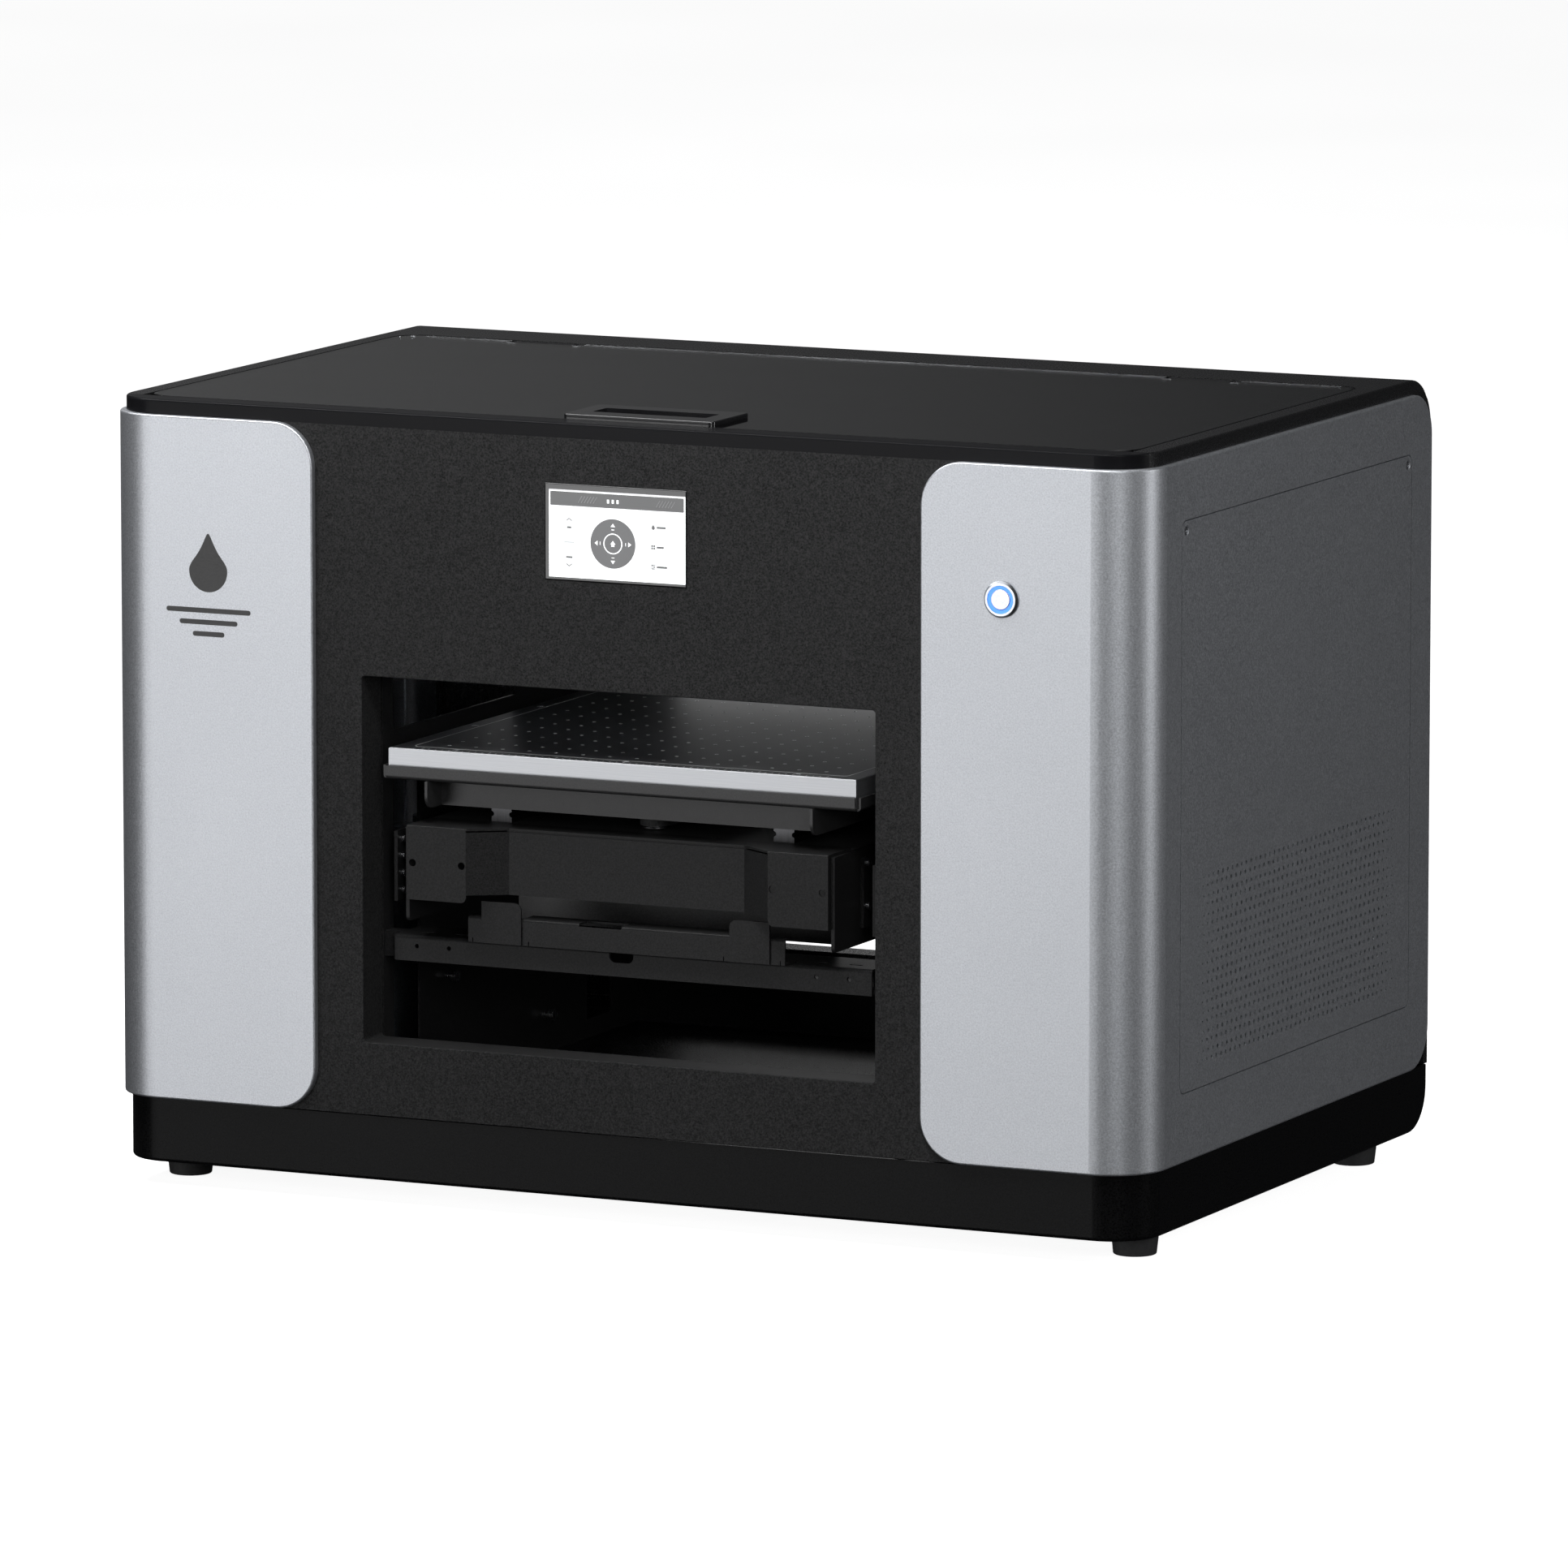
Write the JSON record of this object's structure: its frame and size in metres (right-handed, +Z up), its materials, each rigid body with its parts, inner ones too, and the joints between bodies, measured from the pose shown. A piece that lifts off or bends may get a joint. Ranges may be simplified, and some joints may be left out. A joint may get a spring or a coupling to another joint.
{
  "type": "flatbed printer",
  "caption": "Desktop flatbed ultraviolet inkjet printer: silver side shells, black casing, smoked glass lid, front screen and power button, perforated bed on a lift in an open bay.",
  "frame": {"origin": "centre of the bounding box in plan, at floor level under the feet", "axes": "+X to the right seen from the front, +Y from the front towards the rear, +Z up"},
  "size_m": [0.77, 0.5024, 0.543],
  "materials": {
    "silver_powder": "fine textured metallic silver powder coat",
    "black_powder": "fine textured black powder coat",
    "black_gloss": "gloss black",
    "black_plastic": "matte black",
    "black_rubber": "matt black rubber",
    "smoked_glass": "smoked, polished",
    "grey_paint": "satin dark grey paint",
    "bed_anodised": "black anodised, milled",
    "bright_aluminium": "fine milled",
    "plain_steel": "ground",
    "dark_steel": "blackened",
    "zinc_steel": "zinc plated",
    "galvanised": "bright zinc sheet",
    "board_green": "solder resist over glass fibre",
    "bottle_plastic": "translucent dark, moulded",
    "screen_face": "lit display behind clear cover",
    "ring_light": "lit translucent ring",
    "button_metal": "turned and brushed"
  },
  "bodies": {
    "casing": {"base_tray": "black_powder", "feet": "black_rubber", "floor_plate": "black_powder", "front_panel": "black_powder", "top_frame": "black_powder", "rear_cover": "black_powder", "left_shell": "silver_powder", "right_shell": "silver_powder", "left_access_panel": "silver_powder", "right_access_panel": "silver_powder", "side_frame_left": "black_powder", "side_frame_right": "black_powder", "frame_screws": "zinc_steel", "crossbeams": "black_powder", "lift_guard": "black_powder", "lift_motors": "dark_steel", "guide_rods": "plain_steel", "gantry_beam": "bright_aluminium", "gantry_rail": "plain_steel", "carriage_motor": "dark_steel", "carriage_belt": "black_rubber", "capping_station": "black_plastic", "ink_bottles": "bottle_plastic", "power_supply": "galvanised", "control_board": "board_green", "fan_frame": "black_plastic", "rear_sockets": "black_plastic", "hinge_pins": "plain_steel", "touch_screen": "black_gloss", "screen_glass": "screen_face", "button_bezel": "button_metal", "button_light": "ring_light"},
    "lid": {"lid_glass": "smoked_glass", "lid_handle": "black_gloss", "lid_hinges": "dark_steel"},
    "lift": {"lift_cover": "black_powder", "lift_sides": "black_powder", "lift_deck": "grey_paint", "lift_arms": "black_powder", "lift_screws": "zinc_steel", "bed_rails": "dark_steel", "bed_motor": "dark_steel", "bed_belt": "black_rubber"},
    "bed": {"bed_bearings": "dark_steel", "bed_bracket": "grey_paint", "bed_tray": "grey_paint", "bed_plate": "bed_anodised", "bed_screws": "zinc_steel"},
    "carriage": {"print_carriage": "black_plastic", "print_head": "dark_steel", "uv_lamps": "black_plastic"},
    "left_lead_screw": {"lead_screw_left": "plain_steel"},
    "right_lead_screw": {"lead_screw_right": "plain_steel"},
    "bed_driver": {"bed_drive_pulley": "dark_steel"},
    "bed_idler": {"bed_idler_pulley": "dark_steel"},
    "carriage_driver": {"carriage_drive_pulley": "bright_aluminium"},
    "carriage_idler": {"carriage_idler_pulley": "bright_aluminium"},
    "cap": {"cap_pad": "black_rubber"},
    "fan": {"fan_rotor": "black_plastic"},
    "button": {"power_button": "button_metal"}
  },
  "joints": [
    {"name": "lid_hinge", "type": "hinge", "parent": "casing", "child": "lid", "pos_m": [0, 0.16375, 0.5373], "axis": [-1, 0, 0], "range_deg": [0, 75]},
    {"name": "lift_rise", "type": "slide", "parent": "casing", "child": "lift", "axis": [0, 0, 1], "range_m": [0, 0.045]},
    {"name": "bed_travel", "type": "slide", "parent": "lift", "child": "bed", "axis": [0, 1, 0], "range_m": [-0.15, 0.13]},
    {"name": "carriage_travel", "type": "slide", "parent": "casing", "child": "carriage", "axis": [1, 0, 0], "range_m": [-0.46, 0]},
    {"name": "left_screw_turn", "type": "hinge", "parent": "casing", "child": "left_lead_screw", "pos_m": [-0.222, -0.17795, 0.182], "axis": [0, 0, 1], "range_deg": [-5, 2100]},
    {"name": "right_screw_turn", "type": "hinge", "parent": "casing", "child": "right_lead_screw", "pos_m": [0.222, -0.17795, 0.182], "axis": [0, 0, 1], "range_deg": [-5, 2100]},
    {"name": "bed_driver_turn", "type": "hinge", "parent": "lift", "child": "bed_driver", "pos_m": [0, -0.18275, 0.267], "axis": [0, 0, 1], "range_deg": [-850, 740]},
    {"name": "bed_idler_turn", "type": "hinge", "parent": "lift", "child": "bed_idler", "pos_m": [0, 0.19125, 0.267], "axis": [0, 0, 1], "range_deg": [-850, 740]},
    {"name": "carriage_driver_turn", "type": "hinge", "parent": "casing", "child": "carriage_driver", "pos_m": [-0.343, 0.01625, 0.4607], "axis": [0, 0, 1], "range_deg": [-2600, 5]},
    {"name": "carriage_idler_turn", "type": "hinge", "parent": "casing", "child": "carriage_idler", "pos_m": [0.343, 0.01625, 0.4607], "axis": [0, 0, 1], "range_deg": [-2600, 5]},
    {"name": "cap_rise", "type": "slide", "parent": "casing", "child": "cap", "axis": [0, 0, 1], "range_m": [0, 0.008]},
    {"name": "fan_spin", "type": "hinge", "parent": "casing", "child": "fan", "pos_m": [0.364, -0.07875, 0.187], "axis": [1, 0, 0], "continuous": true},
    {"name": "button_press", "type": "slide", "parent": "casing", "child": "button", "axis": [0, 1, 0], "range_m": [0, 0.0015], "stiffness_N_per_m": 600}
  ],
  "couplings": [
    {"joint": "left_screw_turn", "follows": "lift_rise", "rad_per_m": 785.4},
    {"joint": "right_screw_turn", "follows": "lift_rise", "rad_per_m": 785.4},
    {"joint": "bed_driver_turn", "follows": "bed_travel", "rad_per_m": 98.17},
    {"joint": "bed_idler_turn", "follows": "bed_travel", "rad_per_m": 98.17},
    {"joint": "carriage_driver_turn", "follows": "carriage_travel", "rad_per_m": 98.17},
    {"joint": "carriage_idler_turn", "follows": "carriage_travel", "rad_per_m": 98.17}
  ]
}
